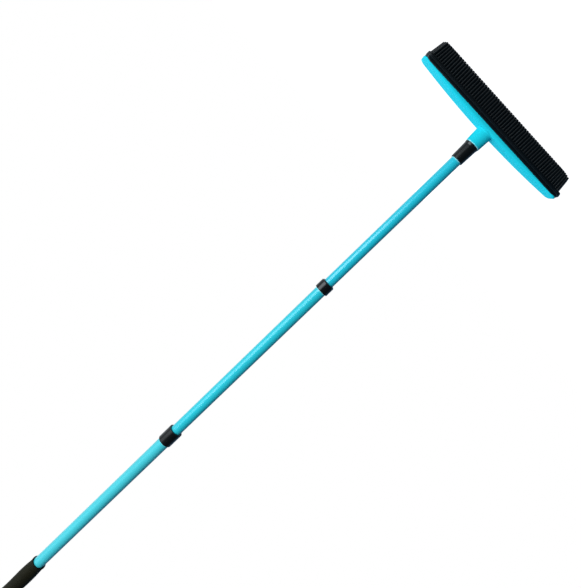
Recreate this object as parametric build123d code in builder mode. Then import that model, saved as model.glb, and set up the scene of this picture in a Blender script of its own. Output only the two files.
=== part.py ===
from build123d import *
from math import atan, degrees, sqrt
import os

os.makedirs("parts", exist_ok=True)

# Rubber broom on a telescopic pole, hanging head down from its eye.
# +Z is up along the pole, X runs along the head and -Y is its front.
# The origin is the middle of the hanging hole. All sizes are millimetres.

# Tubes: each slides in the next, with a gap all round
handle_tube_diameter = 25.4
tube_wall = 0.5
tube_gap = 0.8

# Lengths of the pole that show, from the grip down to the head
grip_length = 125.0
handle_shown = 414.0
handle_collar_length = 34.6
middle_shown = 410.0
middle_collar_length = 20.2
head_tube_shown = 313.4
tip_length = 36.2

# Lengths hidden in the next tube or in a collar
middle_overlap = 78.0
head_overlap = 78.0
handle_collar_seat = 24.0
middle_collar_seat = 13.0
tip_seat = 24.0

# Clearances
slip_fit = 0.05
bush_clearance = 0.65
ring_clearance = 0.2
journal_clearance = 0.08
ring_end_play = 0.25
thread_clearance = 0.3
mouth_gap = 0.1

# Hanging eye and cap
hang_hole_radius = 5.0
eye_wall = 8.0
eye_thickness = 10.0
eye_edge = 2.0
eye_drop = 17.0
cap_flange = 4.0
cap_flange_edge = 1.5
cap_plug_length = 25.0
cap_plug_wall = 2.5

# Grip: rubber thickness on the tube, at distances from its rim
grip_lip_wall = 3.4
grip_lip_width = 3.0
grip_neck_wall = 2.6
grip_neck_distance = 6.0
grip_swell_wall = 4.4
grip_swell_distance = 45.0
grip_waist_wall = 3.6
grip_waist_distance = 88.0
grip_end_wall = 4.3
grip_edge = 1.0

# Collars
handle_collar_wall = 2.4
middle_collar_wall = 2.7
collar_edge = 0.8
middle_collar_bevel = 2.0

# Twist locks
lock_offset = 0.8
lock_spigot_length = 22.0
lock_flange = 2.0
lock_flange_overhang = 0.1
lock_journal_length = 12.0
lock_journal_wall = 4.0
lock_ring_slit = 3.0
lock_ring_edge = 0.6

# Threaded tip
tip_small_wall = 1.8
tip_large_wall = 2.7
tip_flare_wall = 3.7
tip_flare_height = 5.0
tip_edge = 0.8
thread_radius = 9.5
thread_depth = 1.6
thread_pitch = 5.0
thread_turns = 5
thread_crest = 1.4
thread_root = 1.6
stud_nose = 1.5

# Head bar
bar_length = 335.0
bar_depth = 36.0
bar_middle_height = 10.3
bar_end_height = 2.6
bar_corner = 9.5
bar_edge = 2.2
bar_wall = 2.6
bar_roof = 2.8
bar_rib = 2.2
bar_pockets = 11
socket_mouth_wall = 4.5
socket_foot_wall = 5.7
socket_height = 27.8
socket_edge = 1.2
socket_fillet = 1.8
bore_floor = 3.0

# Rubber pad, lip and bristles
neck_inset = 4.0
flange_width = 1.5
flange_thickness = 2.0
hook_thickness = 1.2
pad_wall = 2.5
pad_height = 9.5
pad_corner = 8.0
pad_edge = 2.0
lip_reach = 3.2
lip_root = 4.6
lip_tip = 3.0
lip_drop = 0.8
lip_edge = 1.2
bed_thickness = 2.5
bed_edge = 0.8
bed_end_margin = 1.2
bed_side_margin = 4.0
bristle_length = 29.7
bristle_base = 4.7
bristle_tip = 4.1
bristle_pitch = 5.27
bristle_row_pitch = 5.2
bristle_sink = 1.0

# Tube radii
handle_radius = handle_tube_diameter / 2
handle_bore = handle_radius - tube_wall
middle_radius = handle_bore - tube_gap
middle_bore = middle_radius - tube_wall
head_tube_radius = middle_bore - tube_gap
head_tube_bore = head_tube_radius - tube_wall

# Levels along the pole, from the hanging hole down
cap_top = -eye_drop
cap_seat = cap_top - cap_flange
grip_rim = cap_seat - grip_length
handle_collar_top = grip_rim - handle_shown
handle_collar_bottom = handle_collar_top - handle_collar_length
handle_tube_end = handle_collar_top - handle_collar_seat
middle_tube_top = handle_tube_end + middle_overlap
middle_collar_top = handle_collar_bottom - middle_shown
middle_collar_bottom = middle_collar_top - middle_collar_length
middle_tube_end = middle_collar_top - middle_collar_seat
head_tube_top = middle_tube_end + head_overlap
tip_top = middle_collar_bottom - head_tube_shown
head_tube_end = tip_top - tip_seat
tip_bottom = tip_top - tip_length
socket_mouth = tip_bottom - mouth_gap
bar_top = socket_mouth - socket_height
rim_top = bar_top - bar_middle_height
flange_top = rim_top - hook_thickness
flange_bottom = flange_top - flange_thickness
pad_bottom = rim_top - pad_height
bed_top = pad_bottom + bed_thickness

# Hanging cap: an eye on a round flange, with a hollow plug in the tube
grip_end_radius = handle_radius + grip_end_wall
eye_radius = hang_hole_radius + eye_wall
with BuildPart() as end_cap:
    with BuildSketch(Plane.XY.offset(cap_seat)):
        Circle(grip_end_radius)
    extrude(amount=cap_flange)
    fillet(end_cap.edges().group_by(Axis.Z)[-1], cap_flange_edge)
    with BuildSketch(Plane.XZ):
        Circle(eye_radius)
        with Locations((0, -eye_drop / 2)):
            Rectangle(2 * eye_radius, eye_drop)
    extrude(amount=eye_thickness / 2, both=True)
    fillet(end_cap.edges().filter_by(GeomType.CIRCLE).group_by(Axis.Z)[-1], eye_edge)
    with BuildSketch(Plane.XZ):
        Circle(hang_hole_radius)
    extrude(amount=eye_thickness, both=True, mode=Mode.SUBTRACT)
    with BuildSketch(Plane.XY.offset(cap_seat)):
        Circle(handle_bore - slip_fit)
        Circle(handle_bore - slip_fit - cap_plug_wall, mode=Mode.SUBTRACT)
    extrude(amount=-cap_plug_length)
end_cap.part.label = "end_cap"
export_step(end_cap.part, "parts/end_cap.step")

# Grip: a turned sleeve with a lip at its rim and a swell for the hand
with BuildPart() as grip:
    with BuildSketch(Plane.XZ):
        with BuildLine():
            lip_radius = handle_radius + grip_lip_wall
            neck_radius = handle_radius + grip_neck_wall
            neck_level = grip_rim + grip_neck_distance
            lip_level = grip_rim + grip_lip_width
            bore_radius = handle_radius + slip_fit
            Polyline(
                (grip_end_radius, cap_seat),
                (bore_radius, cap_seat),
                (bore_radius, grip_rim),
                (lip_radius, grip_rim),
                (lip_radius, lip_level),
                (neck_radius, neck_level),
            )
            Spline(
                (neck_radius, neck_level),
                (handle_radius + grip_swell_wall, grip_rim + grip_swell_distance),
                (handle_radius + grip_waist_wall, grip_rim + grip_waist_distance),
                (grip_end_radius, cap_seat),
                tangents=[(0, 1), (0, 1)],
            )
        make_face()
    revolve(axis=Axis.Z)
    rim_edges = grip.edges().filter_by(GeomType.CIRCLE).filter_by(lambda edge: edge.radius == lip_radius)
    fillet(rim_edges, grip_edge)
grip.part.label = "grip"
export_step(grip.part, "parts/grip.step")

# The three tubes
with BuildPart() as handle_tube:
    with BuildSketch(Plane.XY.offset(handle_tube_end)):
        Circle(handle_radius)
        Circle(handle_bore, mode=Mode.SUBTRACT)
    extrude(amount=cap_seat - handle_tube_end)
handle_tube.part.label = "handle_tube"
export_step(handle_tube.part, "parts/handle_tube.step")

with BuildPart() as middle_tube:
    with BuildSketch(Plane.XY.offset(middle_tube_end)):
        Circle(middle_radius)
        Circle(middle_bore, mode=Mode.SUBTRACT)
    extrude(amount=middle_tube_top - middle_tube_end)
middle_tube.part.label = "middle_tube"
export_step(middle_tube.part, "parts/middle_tube.step")

with BuildPart() as head_tube:
    with BuildSketch(Plane.XY.offset(head_tube_end)):
        Circle(head_tube_radius)
        Circle(head_tube_bore, mode=Mode.SUBTRACT)
    extrude(amount=head_tube_top - head_tube_end)
head_tube.part.label = "head_tube"
export_step(head_tube.part, "parts/head_tube.step")

# Collars: a seat for the outer tube, then a narrower bush round the inner tube
with BuildPart() as handle_collar:
    with BuildSketch(Plane.XY.offset(handle_collar_bottom)):
        Circle(handle_radius + handle_collar_wall)
    extrude(amount=handle_collar_length)
    fillet(handle_collar.edges(), collar_edge)
    with BuildSketch(Plane.XY.offset(handle_tube_end)):
        Circle(handle_radius + slip_fit)
    extrude(amount=handle_collar_seat, mode=Mode.SUBTRACT)
    with BuildSketch(Plane.XY.offset(handle_collar_bottom)):
        Circle(middle_radius + bush_clearance)
    extrude(amount=handle_collar_length, mode=Mode.SUBTRACT)
handle_collar.part.label = "handle_collar"
export_step(handle_collar.part, "parts/handle_collar.step")

with BuildPart() as middle_collar:
    with BuildSketch(Plane.XY.offset(middle_collar_bottom)):
        Circle(middle_radius + middle_collar_wall)
    extrude(amount=middle_collar_length)
    fillet(middle_collar.edges().group_by(Axis.Z)[-1], collar_edge)
    chamfer(middle_collar.edges().group_by(Axis.Z)[0], middle_collar_bevel)
    with BuildSketch(Plane.XY.offset(middle_tube_end)):
        Circle(middle_radius + slip_fit)
    extrude(amount=middle_collar_seat, mode=Mode.SUBTRACT)
    with BuildSketch(Plane.XY.offset(middle_collar_bottom)):
        Circle(head_tube_radius + bush_clearance)
    extrude(amount=middle_collar_length, mode=Mode.SUBTRACT)
middle_collar.part.label = "middle_collar"
export_step(middle_collar.part, "parts/middle_collar.step")

# Twist locks: a plug in the end of the inner tube carries a split ring on a journal
# that lies off centre, so that a twist wedges the ring in the outer tube
lock_sizes = {
    "middle_lock": (middle_tube_top, middle_radius, middle_bore, handle_bore),
    "head_lock": (head_tube_top, head_tube_radius, head_tube_bore, middle_bore),
}
for lock_name, (tube_top, tube_radius, tube_bore, outer_bore) in lock_sizes.items():
    journal_radius = tube_bore - lock_journal_wall
    ring_bottom = tube_top + lock_flange + ring_end_play
    ring_length = lock_journal_length - 2 * ring_end_play

    with BuildPart() as lock_plug:
        with BuildSketch(Plane.XY.offset(tube_top)):
            Circle(tube_bore - slip_fit)
        extrude(amount=-lock_spigot_length)
        with BuildSketch(Plane.XY.offset(tube_top)):
            Circle(tube_radius + lock_flange_overhang)
        extrude(amount=lock_flange)
        with BuildSketch(Plane.XY.offset(tube_top + lock_flange)):
            with Locations((0, lock_offset)):
                Circle(journal_radius)
        extrude(amount=lock_journal_length)
        with BuildSketch(Plane.XY.offset(tube_top + lock_flange + lock_journal_length)):
            Circle(tube_radius + lock_flange_overhang)
        extrude(amount=lock_flange)
    lock_plug.part.label = lock_name + "_plug"
    export_step(lock_plug.part, "parts/" + lock_name + "_plug.step")

    with BuildPart() as lock_ring:
        with BuildSketch(Plane.XY.offset(ring_bottom)):
            Circle(outer_bore - ring_clearance)
        extrude(amount=ring_length)
        chamfer(lock_ring.edges(), lock_ring_edge)
        with BuildSketch(Plane.XY.offset(ring_bottom)):
            with Locations((0, lock_offset)):
                Circle(journal_radius + journal_clearance)
            with Locations((0, outer_bore / 2)):
                Rectangle(lock_ring_slit, outer_bore)
        extrude(amount=ring_length, mode=Mode.SUBTRACT)
    lock_ring.part.label = lock_name + "_ring"
    export_step(lock_ring.part, "parts/" + lock_name + "_ring.step")

# Thread of the tip and of the socket, as ridges of one profile turned round the pole
thread_flank = (thread_pitch - thread_crest - thread_root) / 2
thread_core = thread_radius - thread_depth
stud_end = tip_bottom - thread_turns * thread_pitch - stud_nose


def thread_outline(side_gap, floor):
    points = []
    for turn in range(thread_turns):
        start = tip_bottom - turn * thread_pitch - thread_root
        end = start - 2 * thread_flank - thread_crest
        points.append((thread_core + side_gap, start + side_gap))
        points.append((thread_radius + side_gap, start - thread_flank + side_gap))
        points.append((thread_radius + side_gap, end + thread_flank - side_gap))
        points.append((thread_core + side_gap, end - side_gap))
    points.append((thread_core + side_gap, floor))
    return points


# Pole tip: a tapered collar over the tube end, with the stud below it
with BuildPart() as pole_tip:
    with BuildSketch(Plane.XZ):
        with BuildLine():
            Polyline(
                (0, head_tube_end),
                (head_tube_radius + slip_fit, head_tube_end),
                (head_tube_radius + slip_fit, tip_top),
                (head_tube_radius + tip_small_wall, tip_top),
                (head_tube_radius + tip_large_wall, tip_bottom + tip_flare_height),
                (head_tube_radius + tip_flare_wall, tip_bottom),
                (thread_core, tip_bottom),
                *thread_outline(0, stud_end),
                (0, stud_end),
                close=True,
            )
        make_face()
    revolve(axis=Axis.Z)
    tip_rings = pole_tip.edges().filter_by(GeomType.CIRCLE)
    fillet(tip_rings.filter_by(lambda ring: ring.radius > head_tube_radius + slip_fit), tip_edge)
pole_tip.part.label = "pole_tip"
export_step(pole_tip.part, "parts/pole_tip.step")

# Head bar: bowed along its top, hollow under the roof, with a socket for the tip.
# A shorter neck and its flange go down into the pad, so the bar lies over the pad's ends.
bar_rise = bar_middle_height - bar_end_height
bow_radius = ((bar_length / 2) ** 2 + bar_rise**2) / (2 * bar_rise)
socket_bore = thread_radius + thread_clearance
socket_foot_radius = socket_bore + socket_foot_wall
bore_end = stud_end - thread_clearance
pocket_pitch = (bar_length - 2 * bar_corner) / bar_pockets
neck_length = bar_length - 2 * neck_inset
flange_length = neck_length + 2 * flange_width
flange_depth = bar_depth + 2 * flange_width
flange_corner = bar_corner + flange_width
with BuildPart() as head_body:
    with BuildSketch(Plane.XZ):
        with BuildLine():
            Polyline(
                (-bar_length / 2, rim_top + bar_end_height),
                (-bar_length / 2, rim_top),
                (bar_length / 2, rim_top),
                (bar_length / 2, rim_top + bar_end_height),
            )
            ThreePointArc(
                (bar_length / 2, rim_top + bar_end_height),
                (0, bar_top),
                (-bar_length / 2, rim_top + bar_end_height),
            )
        make_face()
    extrude(amount=bar_depth / 2, both=True)
    fillet(head_body.edges().filter_by(Axis.Z), bar_corner)
    roof = head_body.faces().sort_by(Axis.Z)[-1]
    fillet(roof.edges(), bar_edge)
    with BuildSketch(Plane.XY.offset(flange_bottom)):
        RectangleRounded(neck_length, bar_depth, bar_corner)
    extrude(amount=rim_top - flange_bottom)
    with BuildSketch(Plane.XY.offset(flange_bottom)):
        RectangleRounded(flange_length, flange_depth, flange_corner)
    extrude(amount=flange_thickness)
    with BuildSketch(Plane.XZ):
        with BuildLine():
            Polyline(
                (0, rim_top),
                (socket_foot_radius, rim_top),
                (socket_bore + socket_mouth_wall, socket_mouth),
                (0, socket_mouth),
                close=True,
            )
        make_face()
    revolve(axis=Axis.Z)
    fillet(head_body.edges(Select.NEW), socket_fillet)
    fillet(head_body.edges().filter_by(GeomType.CIRCLE).group_by(Axis.Z)[-1], socket_edge)
    for pocket in range(bar_pockets):
        pocket_middle = (pocket - (bar_pockets - 1) / 2) * pocket_pitch
        pocket_far = abs(pocket_middle) + pocket_pitch / 2
        roof_level = bar_top - bow_radius + sqrt(bow_radius**2 - pocket_far**2)
        pocket_top = min(roof_level - bar_roof, bore_end - bore_floor)
        with BuildSketch(Plane.XY.offset(flange_bottom)):
            with Locations((pocket_middle, 0)):
                Rectangle(pocket_pitch - bar_rib, bar_depth - 2 * bar_wall)
        extrude(amount=pocket_top - flange_bottom, mode=Mode.SUBTRACT)
    with BuildSketch(Plane.XZ):
        with BuildLine():
            Polyline(
                (0, socket_mouth),
                (thread_core + thread_clearance, socket_mouth),
                *thread_outline(thread_clearance, bore_end),
                (0, bore_end),
                close=True,
            )
        make_face()
    revolve(axis=Axis.Z, mode=Mode.SUBTRACT)
head_body.part.label = "head_body"
export_step(head_body.part, "parts/head_body.step")

# Rubber pad: its rim hooks over the flange of the bar
pad_depth = flange_depth + 2 * pad_wall
with BuildPart() as rubber_pad:
    with BuildSketch(Plane.XY.offset(bed_top)):
        RectangleRounded(bar_length, pad_depth, pad_corner)
    extrude(amount=rim_top - bed_top)
    fillet(rubber_pad.faces().sort_by(Axis.Z)[-1].edges(), pad_edge)
    with BuildSketch(Plane.XY.offset(flange_bottom)):
        RectangleRounded(flange_length + 2 * slip_fit, flange_depth + 2 * slip_fit, flange_corner + slip_fit)
    extrude(amount=flange_thickness + slip_fit, mode=Mode.SUBTRACT)
    with BuildSketch(Plane.XY.offset(flange_top)):
        RectangleRounded(neck_length + 2 * slip_fit, bar_depth + 2 * slip_fit, bar_corner + slip_fit)
    extrude(amount=hook_thickness, mode=Mode.SUBTRACT)
rubber_pad.part.label = "rubber_pad"
export_step(rubber_pad.part, "parts/rubber_pad.step")

# Squeegee lip: a smooth band along the front of the pad, with rounded free ends
lip_length = bar_length
pad_front = -pad_depth / 2
lip_top = rim_top - pad_edge
with BuildPart() as squeegee_lip:
    with BuildSketch(Plane.YZ.offset(-lip_length / 2)):
        with BuildLine():
            Polyline(
                (pad_front, lip_top),
                (pad_front, lip_top - lip_root),
                (pad_front - lip_reach, lip_top - lip_drop - lip_tip),
                (pad_front - lip_reach, lip_top - lip_drop),
                close=True,
            )
        make_face()
    extrude(amount=lip_length)
    fillet(squeegee_lip.faces().sort_by(Axis.Y)[0].edges(), lip_edge)
squeegee_lip.part.label = "squeegee_lip"
export_step(squeegee_lip.part, "parts/squeegee_lip.step")

# Bristles: tapered strands in staggered rows on the lowest slice of the pad.
# A row is shorter where the pad rounds its corners.
strand_reach = bristle_base / 2 + bed_end_margin
row_span = pad_depth - bristle_base - 2 * bed_side_margin
row_gaps = int(row_span / bristle_row_pitch)
row_step = row_span / row_gaps
bristle_height = bristle_length + bristle_sink
bristle_taper = degrees(atan((bristle_base - bristle_tip) / 2 / bristle_height))
strand_places = []
for row in range(row_gaps + 1):
    row_place = row * row_step - row_span / 2
    corner_depth = max(abs(row_place) + strand_reach - (pad_depth / 2 - pad_corner), 0)
    row_reach = bar_length / 2 - pad_corner + sqrt(pad_corner**2 - corner_depth**2) - strand_reach
    first = (row % 2) / 2
    count = int((row_reach - first * bristle_pitch) / bristle_pitch) + 1
    for column in range(count):
        strand_place = (first + column) * bristle_pitch
        strand_places.append((strand_place, row_place))
        if strand_place > 0:
            strand_places.append((-strand_place, row_place))
print("bristles:", len(strand_places))
with BuildPart() as bristle_bed:
    with BuildSketch(Plane.XY.offset(pad_bottom)):
        RectangleRounded(bar_length, pad_depth, pad_corner)
    extrude(amount=bed_thickness)
    fillet(bristle_bed.faces().sort_by(Axis.Z)[0].edges(), bed_edge)
    with BuildSketch(Plane.XY.offset(pad_bottom + bristle_sink)):
        with Locations(*strand_places):
            Rectangle(bristle_base, bristle_base)
    extrude(amount=-bristle_height, taper=bristle_taper)
bristle_bed.part.label = "bristle_bed"
export_step(bristle_bed.part, "parts/bristle_bed.step")
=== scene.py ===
import bmesh
import bpy
import math
import random
from mathutils import Matrix, Vector


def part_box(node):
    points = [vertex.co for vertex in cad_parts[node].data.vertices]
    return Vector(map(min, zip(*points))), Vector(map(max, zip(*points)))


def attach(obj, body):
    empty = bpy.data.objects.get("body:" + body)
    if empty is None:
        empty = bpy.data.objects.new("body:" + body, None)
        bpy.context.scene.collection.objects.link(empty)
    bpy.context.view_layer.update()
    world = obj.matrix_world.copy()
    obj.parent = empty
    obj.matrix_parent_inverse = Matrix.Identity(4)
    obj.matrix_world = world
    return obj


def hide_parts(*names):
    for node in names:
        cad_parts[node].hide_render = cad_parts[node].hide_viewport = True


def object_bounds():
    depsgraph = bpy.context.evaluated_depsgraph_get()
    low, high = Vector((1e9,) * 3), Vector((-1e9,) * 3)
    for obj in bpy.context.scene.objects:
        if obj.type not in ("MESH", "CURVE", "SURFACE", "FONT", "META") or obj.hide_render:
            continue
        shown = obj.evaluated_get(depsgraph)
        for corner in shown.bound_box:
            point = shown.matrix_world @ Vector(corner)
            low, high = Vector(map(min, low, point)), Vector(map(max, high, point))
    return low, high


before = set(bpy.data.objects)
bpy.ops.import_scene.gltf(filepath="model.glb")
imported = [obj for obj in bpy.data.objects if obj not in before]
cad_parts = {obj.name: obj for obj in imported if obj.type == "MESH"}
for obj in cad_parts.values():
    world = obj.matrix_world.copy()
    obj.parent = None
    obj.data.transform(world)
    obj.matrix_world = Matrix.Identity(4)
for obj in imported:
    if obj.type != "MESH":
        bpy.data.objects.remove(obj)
cadBox = [list(corner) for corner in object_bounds()]
scene = bpy.context.scene
scene.view_settings.view_transform = "Standard"
mm = 0.001  # the dictionaries hold millimetres, Blender works in metres
tiny = 0.01 * mm  # places closer than this count as one
farOff = 1.0  # metres from an end with the pale painted highlight to a level that has none
whole = (0.0, 1.0)  # the full range of a mask
white = (1.0, 1.0, 1.0)
print("stage: frame loaded with", len(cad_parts), "solids")


# node wiring: a value sets the socket, another node's socket is linked to it
def setSocket(tree, socket, value):
    if isinstance(value, bpy.types.NodeSocket):
        tree.links.new(value, socket)
    else:
        socket.default_value = value


def wire(tree, kind, inputs=None, **settings):
    node = tree.nodes.new(kind)
    for key, value in settings.items():
        setattr(node, key, value)
    for key, value in (inputs or {}).items():
        setSocket(tree, node.inputs[key], value)
    return node


def remap(tree, value, fromRange, toRange):
    inputs = {"Value": value, "From Min": fromRange[0], "From Max": fromRange[1]}
    inputs["To Min"] = toRange[0]
    inputs["To Max"] = toRange[1]
    return wire(tree, "ShaderNodeMapRange", inputs).outputs["Result"]


def calc(tree, operation, first, second):
    return wire(tree, "ShaderNodeMath", {0: first, 1: second}, operation=operation).outputs[0]


def blendValue(tree, factor, first, second):
    return wire(tree, "ShaderNodeMix", {0: factor, 2: first, 3: second}).outputs[0]  # 2 and 3 take numbers


def blendColor(tree, factor, first, second):
    node = wire(tree, "ShaderNodeMix", {0: factor}, data_type="RGBA")
    for place, value in ((6, first), (7, second)):  # 6 and 7 take colours
        linked = isinstance(value, bpy.types.NodeSocket)
        setSocket(tree, node.inputs[place], value if linked else (*value, 1.0))
    return node.outputs[2]


def noise(tree, coords, scale, detail):
    values = {"Vector": coords, "Scale": scale, "Detail": detail}
    return wire(tree, "ShaderNodeTexNoise", values).outputs["Fac"]


def objectCoords(tree):
    return wire(tree, "ShaderNodeTexCoord").outputs["Object"]


def newGroup(name, inputs, outputs):
    group = bpy.data.node_groups.new(name, "ShaderNodeTree")
    for label in inputs:
        group.interface.new_socket(label, in_out="INPUT", socket_type="NodeSocketFloat")
    for label in outputs:
        group.interface.new_socket(label, in_out="OUTPUT", socket_type="NodeSocketFloat")
    entry = group.nodes.new("NodeGroupInput").outputs
    leave = group.nodes.new("NodeGroupOutput").inputs
    return group, entry, leave


# moulded grain: fine height, slow clouds and rare specks
grainSet = {
    "fineDetail": 3.0,
    "cloudDetail": 4.0,
    "cloudRange": (0.3, 0.7),
    "speckDetail": 1.0,
    "speckScale": 0.35,  # share of the fine grain's scale
    "speckRange": (0.68, 0.76),
}


def makeGrainGroup():
    group, entry, leave = newGroup("moldedGrain", ["Scale", "Cloud Scale"], ["Height", "Cloud", "Speck"])
    coords = objectCoords(group)
    fine = noise(group, coords, entry["Scale"], grainSet["fineDetail"])
    slow = noise(group, coords, entry["Cloud Scale"], grainSet["cloudDetail"])
    speckScale = calc(group, "MULTIPLY", entry["Scale"], grainSet["speckScale"])
    speck = noise(group, coords, speckScale, grainSet["speckDetail"])
    setSocket(group, leave["Height"], fine)
    setSocket(group, leave["Cloud"], remap(group, slow, grainSet["cloudRange"], whole))
    setSocket(group, leave["Speck"], remap(group, speck, grainSet["speckRange"], whole))
    return group


# fine scratches in patches that run one way: along Z on the pole, along X on the head
scratchSet = {
    "lineDetail": 2.0,
    "patchScale": 26.0,
    "patchDetail": 2.0,
    "patchRange": (0.42, 0.62),
    "level": 0.78,  # noise above this, less the cover, is a scratch
    "softness": 0.06,
}


def makeScratchGroup():
    group, entry, leave = newGroup("slideScratch", ["Along X", "Along Y", "Along Z", "Cover"], ["Mask"])
    coords = objectCoords(group)
    along = {axis: entry["Along " + axis] for axis in "XYZ"}
    stretch = wire(group, "ShaderNodeCombineXYZ", along).outputs[0]
    place = wire(group, "ShaderNodeVectorMath", {0: coords, 1: stretch}, operation="MULTIPLY").outputs[0]
    line = noise(group, place, 1.0, scratchSet["lineDetail"])  # the stretch sets the scale
    patch = noise(group, coords, scratchSet["patchScale"], scratchSet["patchDetail"])
    edge = calc(group, "SUBTRACT", scratchSet["level"], entry["Cover"])
    over = calc(group, "SUBTRACT", line, edge)
    thin = remap(group, over, (0.0, scratchSet["softness"]), whole)
    spread = remap(group, patch, scratchSet["patchRange"], whole)
    setSocket(group, leave["Mask"], calc(group, "MULTIPLY", thin, spread))
    return group


# rubbed ends on the black plastics and the grip, and the painted highlight rings on the tubes and round the
# socket mouth: a mask that grows towards two levels of the pole, broken up by noise
endWearAndHighlightSet = {
    "raggedScale": 420.0,
    "raggedDetail": 4.0,
    "raggedRange": (0.3, 0.7),
    "raggedShift": (-0.6, 0.6),
    "fadeRange": (0.2, 0.9),
}


def makeEndWearAndHighlightGroup():
    group, entry, leave = newGroup("rubbedEndsAndRimHighlight", ["Low", "High", "Width"], ["Mask"])
    coords = objectCoords(group)
    height = wire(group, "ShaderNodeSeparateXYZ", {0: coords}).outputs["Z"]
    fromLow = calc(group, "SUBTRACT", height, entry["Low"])
    fromHigh = calc(group, "SUBTRACT", entry["High"], height)
    near = calc(group, "DIVIDE", calc(group, "MINIMUM", fromLow, fromHigh), entry["Width"])
    ragged = noise(group, coords, endWearAndHighlightSet["raggedScale"], endWearAndHighlightSet["raggedDetail"])
    shift = remap(group, ragged, endWearAndHighlightSet["raggedRange"], endWearAndHighlightSet["raggedShift"])
    edge = calc(group, "ADD", near, shift)
    setSocket(group, leave["Mask"], remap(group, edge, endWearAndHighlightSet["fadeRange"], (1.0, 0.0)))
    return group


grainGroup = makeGrainGroup()
scratchGroup = makeScratchGroup()
endWearAndHighlightGroup = makeEndWearAndHighlightGroup()


def placeGroup(tree, group, values):
    node = tree.nodes.new("ShaderNodeGroup")
    node.node_tree = group
    for label, value in values.items():
        node.inputs[label].default_value = value
    return node.outputs


def scratchMask(tree, look):
    return placeGroup(tree, scratchGroup, look["scratch"])["Mask"]


def endMask(tree, look, low, high):
    values = {"Low": low, "High": high, "Width": look["endWidth"] * mm}
    return placeGroup(tree, endWearAndHighlightGroup, values)["Mask"]


def newMaterial(name):
    material = bpy.data.materials.new(name)
    material.use_nodes = True
    return material, material.node_tree


# each finish starts as two tones mixed by the clouds of its grain
def startFinish(name, look, tones):
    material, tree = newMaterial(name)
    grain = placeGroup(tree, grainGroup, look["grain"])
    base = blendColor(tree, grain["Cloud"], *tones)
    return material, tree, grain, base


# a colour laid over another where a mask shows
def layOver(tree, base, mask, show, color):
    return blendColor(tree, calc(tree, "MULTIPLY", mask, show), base, color)


# the clouds and a mask vary the roughness, the fine grain makes the bump
def setFinish(tree, look, grain, color, specular, mask=None):
    shader = tree.nodes["Principled BSDF"]
    drift = remap(tree, grain["Cloud"], whole, look["roughDrift"])
    rough = calc(tree, "ADD", drift, look["rough"])
    if mask is not None:
        rough = calc(tree, "ADD", rough, calc(tree, "MULTIPLY", mask, look["maskRough"]))
    bump = {"Height": grain["Height"], "Strength": look["bump"], "Distance": look["bumpDepth"] * mm}
    setSocket(tree, shader.inputs["Base Color"], color)
    setSocket(tree, shader.inputs["Roughness"], rough)
    setSocket(tree, shader.inputs["Normal"], wire(tree, "ShaderNodeBump", bump).outputs["Normal"])
    shader.inputs["Specular IOR Level"].default_value = specular


# gloss paint on thin steel tube, with a painted highlight: a thin pale ring above the collar on the tube's
# lower end
tubeSet = {
    "collars": {"handle_tube": "handle_collar", "middle_tube": "middle_collar", "head_tube": "pole_tip"},
    # all three tubes have one paint: the handle tube's tones are painted lighter and the head tube's darker,
    # as painted light and shade along the pole
    "tones": {
        "handle_tube": ((0.052, 0.51, 0.59), (0.047, 0.48, 0.56)),
        "middle_tube": ((0.020, 0.49, 0.59), (0.017, 0.46, 0.56)),
        "head_tube": ((0.014, 0.46, 0.59), (0.012, 0.43, 0.56)),
    },
    "worn": (0.10, 0.62, 0.74),
    # rim: colour of the painted highlight ring above the collar
    "rim": (0.38, 0.76, 0.80),
    "grain": {"Scale": 700.0, "Cloud Scale": 9.0},
    "scratch": {"Along X": 1500.0, "Along Y": 1500.0, "Along Z": 14.0, "Cover": 0.13},
    "scratchShow": 0.12,
    "endWidth": 2.2,
    "endShow": 0.6,
    "rough": 0.17,
    "roughDrift": (-0.03, 0.04),
    "maskRough": 0.06,
    "bump": 0.006,
    "bumpDepth": 0.1,
    "specular": 0.42,
}

# satin moulded plastic of the head, with a painted highlight: a pale ring round the mouth of its socket
headSet = {
    "tones": ((0.011, 0.515, 0.63), (0.009, 0.49, 0.605)),
    "worn": (0.06, 0.62, 0.74),
    # rim: colour of the painted highlight ring round the socket mouth
    "rim": (0.40, 0.78, 0.82),
    "grain": {"Scale": 1400.0, "Cloud Scale": 16.0},
    "scratch": {"Along X": 20.0, "Along Y": 700.0, "Along Z": 700.0, "Cover": 0.1},
    "scratchShow": 0.1,
    "endWidth": 1.6,
    "endShow": 0.75,
    "rough": 0.64,
    "roughDrift": (-0.05, 0.06),
    "maskRough": 0.05,
    "bump": 0.012,
    "bumpDepth": 0.1,
    "specular": 0.06,
}


def makeBlueFinish(name, look, tones, low, high):
    material, tree, grain, base = startFinish(name, look, tones)
    scratch = scratchMask(tree, look)
    lined = layOver(tree, base, scratch, look["scratchShow"], look["worn"])
    # the pale ring at the rim is a painted highlight, laid over the real scratches
    rimHighlighted = layOver(tree, lined, endMask(tree, look, low, high), look["endShow"], look["rim"])
    setFinish(tree, look, grain, rimHighlighted, look["specular"], scratch)
    return material


def makeTubePaint(tubeName, collarName):
    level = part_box(collarName)[1].z
    tones = tubeSet["tones"][tubeName]
    return makeBlueFinish(tubeName + "Paint", tubeSet, tones, level, level + farOff)


def makeHeadPlastic():
    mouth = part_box("head_body")[1].z
    return makeBlueFinish("headPlastic", headSet, headSet["tones"], mouth - farOff, mouth)


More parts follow.
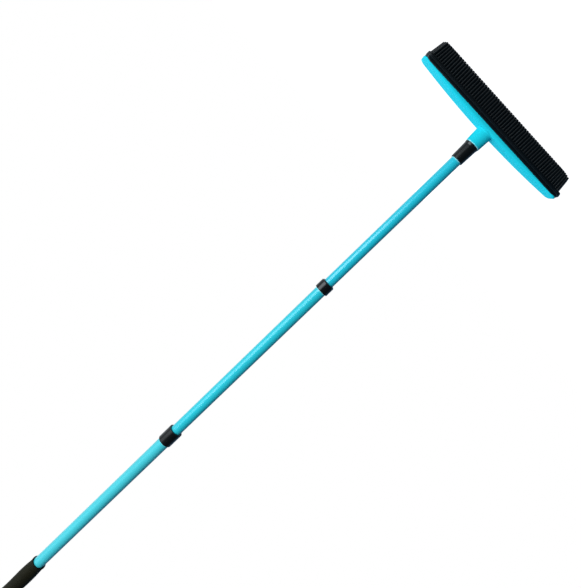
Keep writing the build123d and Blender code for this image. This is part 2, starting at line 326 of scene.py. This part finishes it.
# black moulded plastic of the collars, the tip, the cap and the lock plugs
blackSet = {
    "nodes": ("end_cap", "handle_collar", "middle_collar", "pole_tip", "middle_lock_plug", "head_lock_plug"),
    "tones": ((0.0036, 0.0044, 0.0048), (0.0030, 0.0037, 0.0041)),
    "worn": (0.022, 0.027, 0.032),
    "grain": {"Scale": 1100.0, "Cloud Scale": 30.0},
    "scratch": {"Along X": 800.0, "Along Y": 800.0, "Along Z": 60.0, "Cover": 0.1},
    "scratchShow": 0.25,
    "endWidth": 1.2,
    "endShow": 0.4,
    "rough": 0.17,
    "roughDrift": (-0.05, 0.07),
    "maskRough": 0.2,
    "bump": 0.06,
    "bumpDepth": 0.1,
    "specular": 0.3,
}


def makeBlackPlastic(nodeName):
    low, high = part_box(nodeName)
    material, tree, grain, base = startFinish(nodeName + "Plastic", blackSet, blackSet["tones"])
    scratched = calc(tree, "MULTIPLY", scratchMask(tree, blackSet), blackSet["scratchShow"])
    rubbed = calc(tree, "MULTIPLY", endMask(tree, blackSet, low.z, high.z), blackSet["endShow"])
    worn = calc(tree, "MAXIMUM", scratched, rubbed)
    color = blendColor(tree, worn, base, blackSet["worn"])
    setFinish(tree, blackSet, grain, color, blackSet["specular"], worn)
    return material


# pale moulded plastic of the lock rings
ringSet = {
    "nodes": ("middle_lock_ring", "head_lock_ring"),
    "tones": ((0.70, 0.69, 0.63), (0.60, 0.59, 0.54)),
    "grain": {"Scale": 1200.0, "Cloud Scale": 60.0},
    "rough": 0.45,
    "roughDrift": (-0.05, 0.08),
    "bump": 0.15,
    "bumpDepth": 0.2,
    "specular": 0.5,
}


def makeLockPlastic():
    material, tree, grain, base = startFinish("lockPlastic", ringSet, ringSet["tones"])
    setFinish(tree, ringSet, grain, base, ringSet["specular"])
    return material


# black rubber of the pad, the lip and the bristles, whose own dictionaries hold its dust and gloss
rubberSet = {
    "tones": ((0.0016, 0.0034, 0.0046), (0.0012, 0.0027, 0.0037)),
    "dust": (0.016, 0.019, 0.021),
    "grain": {"Scale": 900.0, "Cloud Scale": 22.0},
    "rough": 0.26,
    "roughDrift": (-0.06, 0.1),
    "maskRough": 0.2,
    "bump": 0.2,
    "bumpDepth": 0.2,
}


def makeRubber(name, piece):
    material, tree, grain, base = startFinish(name, rubberSet, rubberSet["tones"])
    color = layOver(tree, base, grain["Speck"], piece["dustShow"], rubberSet["dust"])
    setFinish(tree, rubberSet, grain, color, piece["specular"], grain["Speck"])
    return material


def dress(nodeName, material):
    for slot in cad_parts[nodeName].material_slots:
        slot.material = material


for tubeName, collarName in tubeSet["collars"].items():
    dress(tubeName, makeTubePaint(tubeName, collarName))
for blackName in blackSet["nodes"]:
    dress(blackName, makeBlackPlastic(blackName))
lockPlastic = makeLockPlastic()
for ringName in ringSet["nodes"]:
    dress(ringName, lockPlastic)
print("stage: solids dressed")


def newPiece(name, mesh, material, body, replaced, sharpAngle):
    piece = bpy.data.objects.new(name, mesh)
    scene.collection.objects.link(piece)
    mesh.materials.append(material)
    for face in mesh.polygons:
        face.use_smooth = True
    mesh.set_sharp_from_angle(angle=math.radians(sharpAngle))
    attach(piece, body)
    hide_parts(replaced)


def meshFrom(name, bm):
    mesh = bpy.data.meshes.new(name)
    bm.to_mesh(mesh)
    bm.free()
    return mesh


# a closed outline of (radius in millimetres, height in metres) turned once round the pole
def turnOutline(outline, steps):
    bm = bmesh.new()
    verts = [bm.verts.new((radius * mm, 0.0, height)) for radius, height in outline]
    edges = [bm.edges.new((verts[i], verts[(i + 1) % len(verts)])) for i in range(len(verts))]
    bmesh.ops.spin(
        bm, geom=verts + edges, cent=(0, 0, 0), axis=(0, 0, 1), angle=math.tau, steps=steps, use_merge=True
    )
    bmesh.ops.remove_doubles(bm, verts=bm.verts, dist=tiny)
    bmesh.ops.recalc_face_normals(bm, faces=bm.faces)
    return bm


# warm matte rubber of the grip
gripLook = {
    "tones": ((0.0092, 0.0088, 0.0044), (0.0066, 0.0062, 0.0036)),
    "rubbed": (0.022, 0.022, 0.019),
    "grain": {"Scale": 1000.0, "Cloud Scale": 20.0},
    "endWidth": 1.4,
    "endShow": 0.5,
    "rough": 0.6,
    "roughDrift": (-0.06, 0.1),
    "bump": 0.35,
    "bumpDepth": 0.3,
    "specular": 0.05,
}

# grip: the outline holds the radius at distances from the rim
gripSet = {
    "bore": 12.75,
    "mouthBore": 13.5,
    "mouthDepth": 5.0,
    "outline": [
        (15.65, 0.0), (16.1, 0.7), (16.0, 2.6), (15.35, 5.5), (15.4, 9.0), (16.0, 18.0), (16.8, 32.0),
        (17.1, 45.0), (16.9, 62.0), (16.4, 82.0), (16.35, 95.0), (16.7, 112.0), (17.0, 123.0), (16.7, 125.0),
    ],
    "steps": 64,
    "sharpAngle": 50,
}
gripLow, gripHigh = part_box("grip")


def makeGripRubber():
    material, tree, grain, base = startFinish("gripRubber", gripLook, gripLook["tones"])
    ends = endMask(tree, gripLook, gripLow.z, gripHigh.z)
    color = layOver(tree, base, ends, gripLook["endShow"], gripLook["rubbed"])
    setFinish(tree, gripLook, grain, color, gripLook["specular"])
    return material


def makeGrip():
    outline = [(radius, gripLow.z + reach * mm) for radius, reach in gripSet["outline"]]
    step = gripLow.z + gripSet["mouthDepth"] * mm
    outline += [(gripSet["bore"], gripHigh.z), (gripSet["bore"], step)]
    outline += [(gripSet["mouthBore"], step), (gripSet["mouthBore"], gripLow.z)]
    return meshFrom("grip_sleeve", turnOutline(outline, gripSet["steps"]))


newPiece("grip_sleeve", makeGrip(), makeGripRubber(), "handle", "grip", gripSet["sharpAngle"])
print("stage: grip")

planSteps = 12  # facets of a corner that is rounded in plan


# round edges, or corners where VERTICES are affected
def roundOff(bm, geometry, size, segments, affect="EDGES", clamp=False):
    bmesh.ops.bevel(
        bm, geom=geometry, offset=size, offset_type="OFFSET", segments=segments, profile=0.5,
        affect=affect, material=-1, clamp_overlap=clamp,
    )


def cutAcross(bm, place, normal):
    geometry = list(bm.verts) + list(bm.edges) + list(bm.faces)
    bmesh.ops.bisect_plane(bm, geom=geometry, plane_co=place, plane_no=normal)


def layPlate(bm, halfLength, halfDepth, middleY, level):
    bmesh.ops.create_grid(bm, x_segments=1, y_segments=1, size=1.0)
    bmesh.ops.scale(bm, vec=(halfLength, halfDepth, 1.0), verts=bm.verts)
    bmesh.ops.translate(bm, vec=(0, middleY, level), verts=bm.verts)


def extrudeUp(bm, height):
    lifted = bmesh.ops.extrude_face_region(bm, geom=list(bm.faces), use_keep_orig=True)
    topVerts = [item for item in lifted["geom"] if isinstance(item, bmesh.types.BMVert)]
    bmesh.ops.translate(bm, vec=(0, 0, height), verts=topVerts)


# a block with a rounded plan, from level low to level high
def roundedBlock(bm, halfLength, halfDepth, corner, low, high):
    layPlate(bm, halfLength, halfDepth, 0, low)
    roundOff(bm, list(bm.verts), corner, planSteps, "VERTICES")
    extrudeUp(bm, high - low)
    bmesh.ops.recalc_face_normals(bm, faces=bm.faces)


def roundRim(bm, level, size, segments):
    rim = [edge for edge in bm.edges if all(abs(vert.co.z - level) < tiny for vert in edge.verts)]
    roundOff(bm, rim, size, segments)


# head bar: a rounded block whose height follows the bow, with the socket turned on top
barSet = {
    "depth": 36.0,
    "corner": 9.5,
    "middleHeight": 10.3,
    "endHeight": 2.6,
    "round": 5.5,
    "roundSteps": 7,
    "cuts": 26,
    "neckDrop": 3.2,
    "socketHeight": 27.8,
    "bore": 9.85,
    "boreDepth": 27.5,
    "outline": [  # radius and level below the socket's mouth
        (13.1, 0.0), (14.0, -0.35), (14.3, -1.2), (14.32, -2.6), (15.35, -25.2), (15.8, -26.7), (16.8, -28.0),
    ],
    "steps": 72,
    "sharpAngle": 35,
}
headLow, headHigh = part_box("head_body")
barTop = headHigh.z - barSet["socketHeight"] * mm
rimTop = barTop - barSet["middleHeight"] * mm


def makeHeadShell():
    bm = bmesh.new()
    roundedBlock(bm, headHigh.x, barSet["depth"] * mm / 2, barSet["corner"] * mm, rimTop, barTop)
    roundRim(bm, barTop, barSet["round"] * mm, barSet["roundSteps"])
    for cut in range(1, barSet["cuts"]):
        place = headLow.x + (headHigh.x - headLow.x) * cut / barSet["cuts"]
        cutAcross(bm, (place, 0, 0), (1, 0, 0))
    rise = (barSet["middleHeight"] - barSet["endHeight"]) * mm
    bow = (headHigh.x**2 + rise**2) / (2 * rise)  # radius of the bow
    for vert in bm.verts:
        drop = bow - math.sqrt(bow**2 - vert.co.x**2)
        share = 1.0 - drop / (barSet["middleHeight"] * mm)
        vert.co.z = rimTop + (vert.co.z - rimTop) * share
    bar = meshFrom("bar", bm)
    foot = rimTop - barSet["neckDrop"] * mm
    outline = [(radius, headHigh.z + level * mm) for radius, level in barSet["outline"]]
    boreFloor = headHigh.z - barSet["boreDepth"] * mm
    outline += [(barSet["outline"][-1][0], foot), (0.0, foot), (0.0, boreFloor)]
    outline += [(barSet["bore"], boreFloor), (barSet["bore"], headHigh.z)]
    bm = turnOutline(outline, barSet["steps"])
    bm.from_mesh(bar)
    bpy.data.meshes.remove(bar)
    return meshFrom("head_shell", bm)


shellMesh = makeHeadShell()
headPlastic = makeHeadPlastic()
newPiece("head_shell", shellMesh, headPlastic, "head", "head_body", barSet["sharpAngle"])
print("stage: head bar and socket")

# pad: a rounded rim that laps the bar's lower edge, and the lap fades out round the corners
padSet = {
    "corner": 8.0,
    "inset": 0.6,
    "topRound": 2.0,
    "topSteps": 5,
    "lap": 1.7,
    "fadeFrom": 155.0,
    "fadeTo": 163.5,
    "dustShow": 0.25,
    "specular": 0.3,
    "sharpAngle": 40,
}
padLow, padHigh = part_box("rubber_pad")


def makePad():
    bm = bmesh.new()
    top = padHigh.z + padSet["lap"] * mm
    roundedBlock(bm, padHigh.x - padSet["inset"] * mm, padHigh.y, padSet["corner"] * mm, padLow.z, top)
    roundRim(bm, top, padSet["topRound"] * mm, padSet["topSteps"])
    for end in (-1, 1):
        cutAcross(bm, (end * padSet["fadeFrom"] * mm, 0, 0), (1, 0, 0))
    for vert in bm.verts:
        if vert.co.z > (padLow.z + top) / 2:
            past = (abs(vert.co.x) / mm - padSet["fadeFrom"]) / (padSet["fadeTo"] - padSet["fadeFrom"])
            vert.co.z -= min(max(past, 0.0), 1.0) * padSet["lap"] * mm
    return meshFrom("pad_rim", bm)


padRubber = makeRubber("padRubber", padSet)
newPiece("pad_rim", makePad(), padRubber, "head", "rubber_pad", padSet["sharpAngle"])
print("stage: pad")

# lip: a smooth band along the front of the pad that wraps round its corners and dies into its ends
lipSet = {
    "root": 4.6,
    "drop": 0.8,
    "edgeRound": 1.1,
    "edgeSteps": 4,
    "corner": 9.0,
    "cornerSteps": 10,
    "depth": 12.2,
    "sink": 0.4,
    "dustShow": 0.3,
    "specular": 0.4,
    "sharpAngle": 40,
}
lipLow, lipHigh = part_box("squeegee_lip")


# edges between the walls and the two flat faces, apart from those at the hidden back
def lipRims(bm):
    halfUp = 0.5  # a face whose normal rises less than this is a wall
    back = lipLow.y + lipSet["depth"] * mm - tiny
    rims = []
    for edge in bm.edges:
        rises = [abs(face.normal.z) for face in edge.link_faces]
        shown = any(vert.co.y < back for vert in edge.verts)
        if shown and min(rises) < halfUp < max(rises):
            rims.append(edge)
    return rims


def makeLip():
    bm = bmesh.new()
    root = lipSet["root"] * mm
    halfDepth = lipSet["depth"] * mm / 2
    bottom = lipHigh.z - root
    layPlate(bm, lipHigh.x, halfDepth, lipLow.y + halfDepth, bottom)
    front = [vert for vert in bm.verts if vert.co.y < lipHigh.y]
    roundOff(bm, front, lipSet["corner"] * mm, lipSet["cornerSteps"], "VERTICES")
    extrudeUp(bm, root)
    shoulder = lipHigh.y + lipSet["sink"] * mm
    cutAcross(bm, (0, shoulder, 0), (0, 1, 0))
    bmesh.ops.recalc_face_normals(bm, faces=bm.faces)
    rims = lipRims(bm)
    for vert in bm.verts:
        share = max(shoulder - vert.co.y, 0.0) / (shoulder - lipLow.y)
        inward = -1.0 if vert.co.z > bottom + root / 2 else 1.0
        vert.co.z += inward * share * lipSet["drop"] * mm
    roundOff(bm, rims, lipSet["edgeRound"] * mm, lipSet["edgeSteps"], clamp=True)
    return meshFrom("lip_band", bm)


lipRubber = makeRubber("lipRubber", lipSet)
newPiece("lip_band", makeLip(), lipRubber, "head", "squeegee_lip", lipSet["sharpAngle"])
print("stage: lip")

# bristles: rubber strands in staggered rows under their slice of the pad
bristleSet = {
    "baseSide": 4.70,
    "tipSide": 4.90,
    "edgeRound": 1.9,
    "edgeSteps": 3,
    "crownRound": 0.25,
    "crownSteps": 1,
    "pitch": 5.27,
    "rowStep": 5.217,
    "rows": 7,
    "bedThickness": 2.5,
    "bedRound": 0.8,
    "bedSteps": 3,
    "reach": 3.55,
    "rootSink": 0.1,
    "trimLeft": 6.0,  # cut off the tips of the last strands at the -X end
    "trimRight": 0.5,  # the same at the +X end
    "trimPower": 4,  # how fast the trim fades away from the ends
    "lean": 0.003,  # radians, as turn and endLean
    "turn": 0.06,
    "endLean": 0.19,  # inward lean of the last strands
    "endReach": 40.0,
    "seed": 7,
    "dustShow": 0.2,
    "specular": 0.26,
    "sharpAngle": 50,
}
bedLow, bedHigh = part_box("bristle_bed")
rootLevel = bedHigh.z - bristleSet["bedThickness"] * mm
strandLength = rootLevel - bedLow.z


def strandPlaces():
    places = []
    corner = padSet["corner"]
    for row in range(bristleSet["rows"]):
        y = (row - (bristleSet["rows"] - 1) / 2) * bristleSet["rowStep"]
        sunk = max(abs(y) + bristleSet["reach"] - (bedHigh.y / mm - corner), 0.0)
        reach = bedHigh.x / mm - corner + math.sqrt(corner**2 - sunk**2) - bristleSet["reach"]
        first = (row % 2) / 2  # every other row starts half a pitch on
        count = int((reach - first * bristleSet["pitch"]) / bristleSet["pitch"]) + 1
        for column in range(count):
            x = (first + column) * bristleSet["pitch"]
            places.append((x, y))
            if x > 0:
                places.append((-x, y))
    return places


# one strand standing on its root, flat sides along X and Y
def makeStrand():
    bm = bmesh.new()
    sides = 4  # square in section
    toCorner = mm / math.sqrt(2)  # from a square's side to the radius of its corners
    bmesh.ops.create_cone(
        bm, cap_ends=True, segments=sides, radius1=bristleSet["baseSide"] * toCorner,
        radius2=bristleSet["tipSide"] * toCorner, depth=strandLength,
    )
    bmesh.ops.rotate(bm, matrix=Matrix.Rotation(math.pi / sides, 3, "Z"), verts=bm.verts)
    bmesh.ops.translate(bm, vec=(0, 0, strandLength / 2), verts=bm.verts)
    upright = [
        edge for edge in bm.edges if abs(edge.verts[0].co.z - edge.verts[1].co.z) > strandLength / 2
    ]
    roundOff(bm, upright, bristleSet["edgeRound"] * mm, bristleSet["edgeSteps"])
    roundRim(bm, strandLength, bristleSet["crownRound"] * mm, bristleSet["crownSteps"])
    return meshFrom("strand", bm)


def makeBed():
    bm = bmesh.new()
    roundedBlock(bm, bedHigh.x, bedHigh.y, padSet["corner"] * mm, rootLevel, bedHigh.z)
    roundRim(bm, rootLevel, bristleSet["bedRound"] * mm, bristleSet["bedSteps"])
    return meshFrom("bed", bm)


def makeBristles(places):
    dice = random.Random(bristleSet["seed"])
    strand = makeStrand()
    bed = makeBed()
    bm = bmesh.new()
    halfLength = bedHigh.x / mm
    flip = Matrix.Rotation(math.pi, 4, "X")
    for x, y in places:
        before = len(bm.verts)
        bm.from_mesh(strand)
        bm.verts.ensure_lookup_table()
        fresh = bm.verts[before:]
        side = max(abs(x) - halfLength + bristleSet["endReach"], 0.0) / bristleSet["endReach"]
        inward = math.copysign(side * bristleSet["endLean"], x)
        tiltX = dice.uniform(-1, 1) * bristleSet["lean"]
        tiltY = dice.uniform(-1, 1) * bristleSet["lean"] + inward
        turn = Matrix.Rotation(dice.uniform(-bristleSet["turn"], bristleSet["turn"]), 4, "Z")
        cut = side ** bristleSet["trimPower"] * bristleSet["trimLeft" if x < 0 else "trimRight"] * mm
        trim = Matrix.Diagonal((1.0, 1.0, 1.0 - cut / strandLength, 1.0))
        tilt = Matrix.Rotation(tiltY, 4, "Y") @ Matrix.Rotation(tiltX, 4, "X")
        place = Matrix.Translation((x * mm, y * mm, rootLevel + bristleSet["rootSink"] * mm))
        bmesh.ops.transform(bm, matrix=place @ tilt @ flip @ turn @ trim, verts=fresh)
    bm.from_mesh(bed)
    bpy.data.meshes.remove(strand)
    bpy.data.meshes.remove(bed)
    return meshFrom("rubber_bristles", bm)


strands = strandPlaces()
bristleMesh = makeBristles(strands)
bristleRubber = makeRubber("bristleRubber", bristleSet)
newPiece(
    "rubber_bristles", bristleMesh, bristleRubber, "head", "bristle_bed",
    bristleSet["sharpAngle"],
)
print("stage: bristles", len(strands))

# camera at the photograph's viewpoint, its place in metres
cameraSet = {
    "place": (0.14118, -0.95987, -1.13690),
    "forward": (-0.10721, 0.97767, 0.18077),
    "right": (-0.70866, 0.05284, -0.70357),
    "lens": 31.863,
    "sensor": 36.0,
    "clipStart": 0.01,
}
forward = Vector(cameraSet["forward"]).normalized()
right = Vector(cameraSet["right"])
right = (right - forward * right.dot(forward)).normalized()
upward = right.cross(forward)
cameraData = bpy.data.cameras.new("viewCamera")
cameraData.lens = cameraSet["lens"]
cameraData.sensor_width = cameraSet["sensor"]
cameraData.clip_start = cameraSet["clipStart"]
camera = bpy.data.objects.new("viewCamera", cameraData)
turned = Matrix((right, upward, -forward)).transposed().to_4x4()
camera.matrix_world = Matrix.Translation(cameraSet["place"]) @ turned
scene.collection.objects.link(camera)
scene.camera = camera
print("stage: camera")

# floor, far enough down for the pole drawn right out: white to the camera, with the shadow left in
floorSet = {
    "size": 8.0,  # metres
    "drop": 145.0,
    "glow": 0.93,
    "paint": (0.13, 0.13, 0.13),
}


def makeFloor():
    bm = bmesh.new()
    bmesh.ops.create_grid(bm, x_segments=1, y_segments=1, size=floorSet["size"] / 2)
    bmesh.ops.translate(bm, vec=(0, 0, cadBox[0][2] - floorSet["drop"] * mm), verts=bm.verts)
    floor = bpy.data.objects.new("floor", meshFrom("floor", bm))
    scene.collection.objects.link(floor)
    material, tree = newMaterial("floorWhite")
    tree.nodes.remove(tree.nodes["Principled BSDF"])
    path = wire(tree, "ShaderNodeLightPath").outputs
    mirrored = calc(tree, "MAXIMUM", path["Is Glossy Ray"], path["Is Transmission Ray"])
    seen = calc(tree, "MAXIMUM", path["Is Camera Ray"], mirrored)
    glow = wire(tree, "ShaderNodeEmission", {"Strength": calc(tree, "MULTIPLY", seen, floorSet["glow"])})
    paint = wire(tree, "ShaderNodeBsdfDiffuse", {"Color": (*floorSet["paint"], 1.0)})
    total = wire(tree, "ShaderNodeAddShader", {0: glow.outputs[0], 1: paint.outputs[0]})
    setSocket(tree, tree.nodes["Material Output"].inputs["Surface"], total.outputs[0])
    floor.data.materials.append(material)
    floor.visible_shadow = False  # the lamps and the surround reach below the floor
    floor.visible_glossy = False  # reflections see the surround there too


makeFloor()

# soft studio light: a pale surround, brighter overhead, with a dark flag on the -X side of the pole;
# reflections see the white backdrop, a dim room in front of it and a tall soft box;
# a range is of the ray's direction along one axis, from -1 to 1, and the box's angles are degrees
studioSet = {
    "surround": 0.26,
    "shade": 0.03,
    "skyGain": 7.4,
    "skyRange": (0.3, 0.8),
    "flagRange": (-0.45, 0.25),
    "flagShine": 0.5,
    "room": 0.15,
    "roomRange": (-0.3, 0.4),
    "tint": (0.88, 0.95, 1.0),
    "shadeTint": (0.32, 0.62, 1.0),
    "boxAim": (0.82, -0.57),
    "boxInner": 6.0,
    "boxOuter": 33.0,
    "boxShine": 8.6,  # at its brightest, just above the level
    "boxFoot": 0.116,  # share of the shine below footRange
    "footRange": (-0.115, 0.0),
    "boxBody": 0.58,  # share of the shine above bodyRange
    "bodyRange": (0.09, 0.15),
    "boxTop": 0.2,  # share of the body's shine above topRange
    "topRange": (0.40, 0.50),
}


def makeStudio():
    world = bpy.data.worlds.new("studio")
    scene.world = world
    world.use_nodes = True
    tree = world.node_tree
    path = wire(tree, "ShaderNodeLightPath").outputs
    coords = wire(tree, "ShaderNodeTexCoord").outputs["Generated"]
    axes = wire(tree, "ShaderNodeSeparateXYZ", {0: coords}).outputs
    squareX = calc(tree, "MULTIPLY", axes["X"], axes["X"])
    squareY = calc(tree, "MULTIPLY", axes["Y"], axes["Y"])
    across = calc(tree, "POWER", calc(tree, "ADD", squareX, squareY), 0.5)  # square root
    aimX = calc(tree, "MULTIPLY", axes["X"], studioSet["boxAim"][0])
    aimY = calc(tree, "MULTIPLY", axes["Y"], studioSet["boxAim"][1])
    toward = calc(tree, "DIVIDE", calc(tree, "ADD", aimX, aimY), across)
    outer = math.cos(math.radians(studioSet["boxOuter"]))
    inner = math.cos(math.radians(studioSet["boxInner"]))
    band = remap(tree, toward, (outer, inner), (0.0, studioSet["boxShine"]))
    foot = remap(tree, axes["Z"], studioSet["footRange"], (studioSet["boxFoot"], 1.0))
    body = remap(tree, axes["Z"], studioSet["bodyRange"], (1.0, studioSet["boxBody"]))
    top = remap(tree, axes["Z"], studioSet["topRange"], (1.0, studioSet["boxTop"]))
    tall = calc(tree, "MULTIPLY", body, calc(tree, "MULTIPLY", foot, top))
    box = calc(tree, "MULTIPLY", band, tall)
    flag = remap(tree, axes["X"], studioSet["flagRange"], whole)
    side = remap(tree, flag, whole, (studioSet["shade"], studioSet["surround"]))
    sky = remap(tree, axes["Z"], studioSet["skyRange"], (1.0, studioSet["skyGain"]))
    soft = calc(tree, "MULTIPLY", side, sky)
    room = remap(tree, axes["Y"], studioSet["roomRange"], (studioSet["room"], 1.0))
    mirrored = calc(tree, "MULTIPLY", room, remap(tree, flag, whole, (studioSet["flagShine"], 1.0)))
    lit = blendValue(tree, path["Is Glossy Ray"], soft, calc(tree, "ADD", mirrored, box))
    seen = calc(tree, "MAXIMUM", path["Is Camera Ray"], path["Is Transmission Ray"])
    hue = blendColor(tree, flag, studioSet["shadeTint"], studioSet["tint"])
    backdrop = tree.nodes["Background"].inputs
    setSocket(tree, backdrop["Strength"], blendValue(tree, seen, lit, 1.0))
    setSocket(tree, backdrop["Color"], blendColor(tree, seen, hue, white))


# two large soft lamps that reflections don't show, sizes and places in metres
lampSet = {
    "softLamp": {"place": (2.09, -2.68, -0.10), "tall": 2.6, "wide": 1.5, "power": 136.0},
    "backLamp": {"place": (-0.4, 2.9, -0.3), "tall": 2.6, "wide": 2.0, "power": 75.0},
}


def makeLamp(name, values):
    data = bpy.data.lights.new(name, "AREA")
    data.shape = "RECTANGLE"
    data.size = values["wide"]
    data.size_y = values["tall"]
    data.energy = values["power"]
    lamp = bpy.data.objects.new(name, data)
    place = Vector(values["place"])
    aim = Vector((-place.x, -place.y, 0.0))  # level, towards the pole
    lamp.matrix_world = Matrix.Translation(place) @ aim.to_track_quat("-Z", "Y").to_matrix().to_4x4()
    lamp.visible_camera = False
    lamp.visible_glossy = False
    scene.collection.objects.link(lamp)


makeStudio()
for lampName, lampValues in lampSet.items():
    makeLamp(lampName, lampValues)
print("stage: light and floor")
